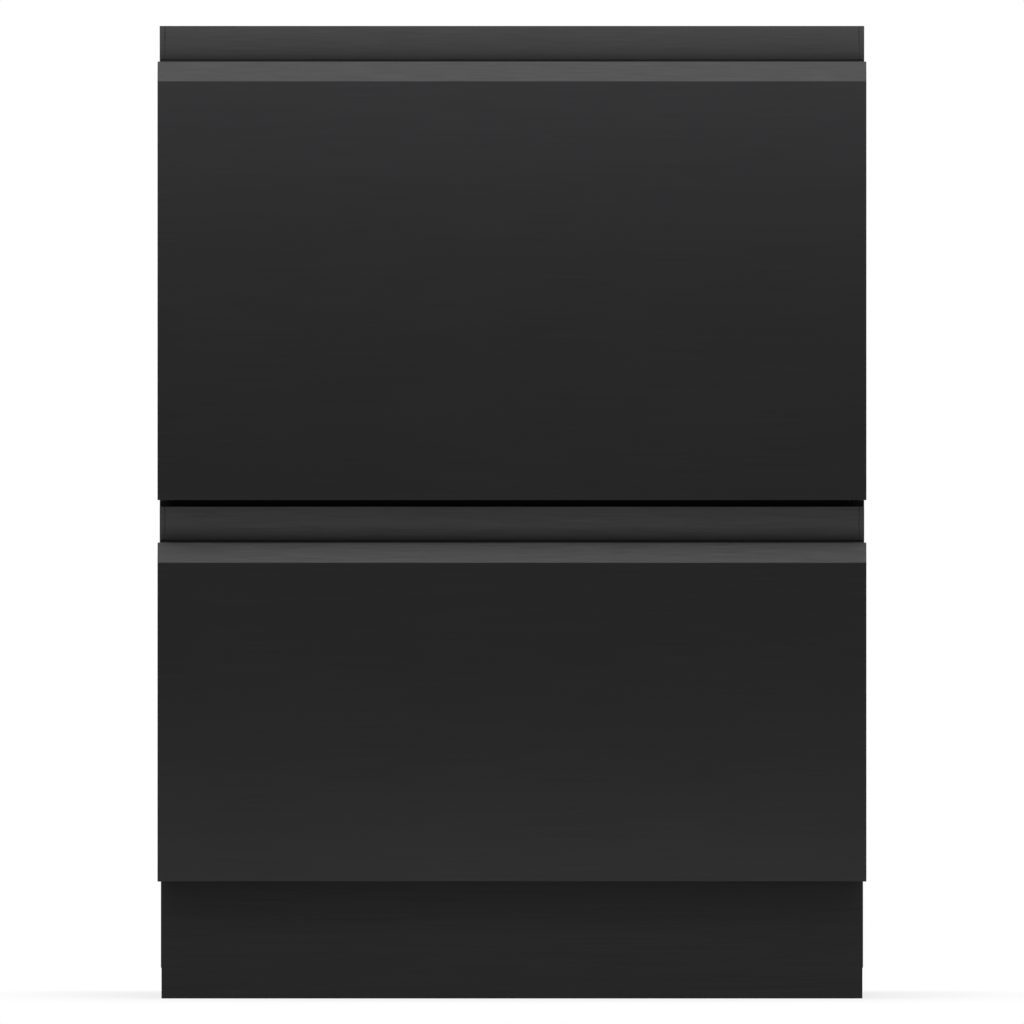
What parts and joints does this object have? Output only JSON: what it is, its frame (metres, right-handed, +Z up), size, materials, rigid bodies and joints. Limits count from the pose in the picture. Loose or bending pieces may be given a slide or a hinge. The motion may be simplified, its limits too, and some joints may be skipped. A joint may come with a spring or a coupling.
{
  "type": "double dishwasher drawer",
  "caption": "Built-under dishwasher with two stacked pull-out drawers, each with a black steel front, bevelled edge and finger pocket, over a recessed toe kick.",
  "frame": {"origin": "on the floor, below the middle of the whole appliance", "axes": "+Z up, the drawer fronts face -Y, +X to the right of someone who faces them"},
  "size_m": [0.599, 0.573, 0.8226],
  "materials": {
    "front_steel": "satin black stainless",
    "band_steel": "brushed black stainless",
    "toe_steel": "black painted steel",
    "black_moulding": "moulded black ABS",
    "tub_moulding": "moulded grey polypropylene",
    "pale_moulding": "moulded pale polypropylene",
    "zinc_steel": "galvanised sheet",
    "rail_steel": "zinc plated",
    "black_paint": "black powder coat",
    "seal_rubber": "matt",
    "coated_wire": "nylon coated wire",
    "button_cap": "moulded cap"
  },
  "bodies": {
    "cabinet": {"left_side_panel": "zinc_steel", "right_side_panel": "zinc_steel", "top_panel": "zinc_steel", "back_panel": "zinc_steel", "middle_shelf": "black_paint", "base_pan": "black_moulding", "toe_kick": "toe_steel", "inlet_valve": "pale_moulding", "upper_fixed_rail_left": "rail_steel", "upper_lid_guide_left": "black_moulding", "upper_fixed_rail_right": "rail_steel", "upper_lid_guide_right": "black_moulding", "lower_fixed_rail_left": "rail_steel", "lower_lid_guide_left": "black_moulding", "lower_fixed_rail_right": "rail_steel", "lower_lid_guide_right": "black_moulding"},
    "front_left_foot": {"front_left_foot": "black_moulding"},
    "front_right_foot": {"front_right_foot": "black_moulding"},
    "back_left_foot": {"back_left_foot": "black_moulding"},
    "back_right_foot": {"back_right_foot": "black_moulding"},
    "upper_drawer": {"upper_front_panel": "front_steel", "upper_handle_recess": "band_steel", "upper_front_liner": "black_moulding", "upper_control_strip": "black_moulding", "upper_tub": "tub_moulding", "upper_dispenser": "pale_moulding", "upper_wash_motor": "black_moulding", "upper_filter_plate": "tub_moulding", "upper_basket": "coated_wire", "upper_inner_rail_left": "rail_steel", "upper_inner_rail_right": "rail_steel"},
    "upper_dispenser_door": {"upper_dispenser_door": "tub_moulding"},
    "upper_power_button": {"upper_power_button": "button_cap"},
    "upper_start_button": {"upper_start_button": "button_cap"},
    "upper_spray_arm": {"upper_spray_arm": "pale_moulding"},
    "upper_fold_down_tines": {"upper_fold_down_tines": "coated_wire"},
    "upper_lid": {"upper_lid": "pale_moulding", "upper_lid_seal": "seal_rubber"},
    "upper_mid_rails": {"upper_mid_rail_left": "rail_steel", "upper_mid_rail_right": "rail_steel"},
    "lower_drawer": {"lower_front_panel": "front_steel", "lower_handle_recess": "band_steel", "lower_front_liner": "black_moulding", "lower_control_strip": "black_moulding", "lower_tub": "tub_moulding", "lower_dispenser": "pale_moulding", "lower_wash_motor": "black_moulding", "lower_filter_plate": "tub_moulding", "lower_basket": "coated_wire", "lower_inner_rail_left": "rail_steel", "lower_inner_rail_right": "rail_steel"},
    "lower_dispenser_door": {"lower_dispenser_door": "tub_moulding"},
    "lower_power_button": {"lower_power_button": "button_cap"},
    "lower_start_button": {"lower_start_button": "button_cap"},
    "lower_spray_arm": {"lower_spray_arm": "pale_moulding"},
    "lower_fold_down_tines": {"lower_fold_down_tines": "coated_wire"},
    "lower_lid": {"lower_lid": "pale_moulding", "lower_lid_seal": "seal_rubber"},
    "lower_mid_rails": {"lower_mid_rail_left": "rail_steel", "lower_mid_rail_right": "rail_steel"}
  },
  "joints": [
    {"name": "front_left_foot_height", "type": "slide", "parent": "cabinet", "child": "front_left_foot", "axis": [0, 0, -1], "range_m": [0, 0.058]},
    {"name": "front_right_foot_height", "type": "slide", "parent": "cabinet", "child": "front_right_foot", "axis": [0, 0, -1], "range_m": [0, 0.058]},
    {"name": "back_left_foot_height", "type": "slide", "parent": "cabinet", "child": "back_left_foot", "axis": [0, 0, -1], "range_m": [0, 0.058]},
    {"name": "back_right_foot_height", "type": "slide", "parent": "cabinet", "child": "back_right_foot", "axis": [0, 0, -1], "range_m": [0, 0.058]},
    {"name": "upper_drawer_slide", "type": "slide", "parent": "cabinet", "child": "upper_drawer", "axis": [0, -1, 0], "range_m": [0, 0.5]},
    {"name": "upper_mid_rail_slide", "type": "slide", "parent": "cabinet", "child": "upper_mid_rails", "axis": [0, -1, 0], "range_m": [0, 0.25]},
    {"name": "upper_lid_drop", "type": "slide", "parent": "cabinet", "child": "upper_lid", "axis": [0, 0, -1], "range_m": [0, 0.008]},
    {"name": "upper_spray_arm_spin", "type": "hinge", "parent": "upper_drawer", "child": "upper_spray_arm", "pos_m": [0, 0.0174, 0.508], "axis": [0, 0, 1], "continuous": true},
    {"name": "upper_tine_fold", "type": "hinge", "parent": "upper_drawer", "child": "upper_fold_down_tines", "pos_m": [0, -0.0675, 0.5343], "axis": [1, 0, 0], "range_deg": [0, 85]},
    {"name": "upper_dispenser_door_slide", "type": "slide", "parent": "upper_drawer", "child": "upper_dispenser_door", "axis": [1, 0, 0], "range_m": [0, 0.06]},
    {"name": "upper_power_button_press", "type": "slide", "parent": "upper_drawer", "child": "upper_power_button", "axis": [0, 0, -1], "range_m": [0, 0.0012], "stiffness_N_per_m": 1500},
    {"name": "upper_start_button_press", "type": "slide", "parent": "upper_drawer", "child": "upper_start_button", "axis": [0, 0, -1], "range_m": [0, 0.0012], "stiffness_N_per_m": 1500},
    {"name": "lower_drawer_slide", "type": "slide", "parent": "cabinet", "child": "lower_drawer", "axis": [0, -1, 0], "range_m": [0, 0.5]},
    {"name": "lower_mid_rail_slide", "type": "slide", "parent": "cabinet", "child": "lower_mid_rails", "axis": [0, -1, 0], "range_m": [0, 0.25]},
    {"name": "lower_lid_drop", "type": "slide", "parent": "cabinet", "child": "lower_lid", "axis": [0, 0, -1], "range_m": [0, 0.008]},
    {"name": "lower_spray_arm_spin", "type": "hinge", "parent": "lower_drawer", "child": "lower_spray_arm", "pos_m": [0, 0.0174, 0.1685], "axis": [0, 0, 1], "continuous": true},
    {"name": "lower_tine_fold", "type": "hinge", "parent": "lower_drawer", "child": "lower_fold_down_tines", "pos_m": [0, -0.0675, 0.1948], "axis": [1, 0, 0], "range_deg": [0, 85]},
    {"name": "lower_dispenser_door_slide", "type": "slide", "parent": "lower_drawer", "child": "lower_dispenser_door", "axis": [1, 0, 0], "range_m": [0, 0.06]},
    {"name": "lower_power_button_press", "type": "slide", "parent": "lower_drawer", "child": "lower_power_button", "axis": [0, 0, -1], "range_m": [0, 0.0012], "stiffness_N_per_m": 1500},
    {"name": "lower_start_button_press", "type": "slide", "parent": "lower_drawer", "child": "lower_start_button", "axis": [0, 0, -1], "range_m": [0, 0.0012], "stiffness_N_per_m": 1500}
  ],
  "couplings": [
    {"joint": "upper_mid_rail_slide", "follows": "upper_drawer_slide", "ratio": 0.5},
    {"joint": "lower_mid_rail_slide", "follows": "lower_drawer_slide", "ratio": 0.5}
  ]
}
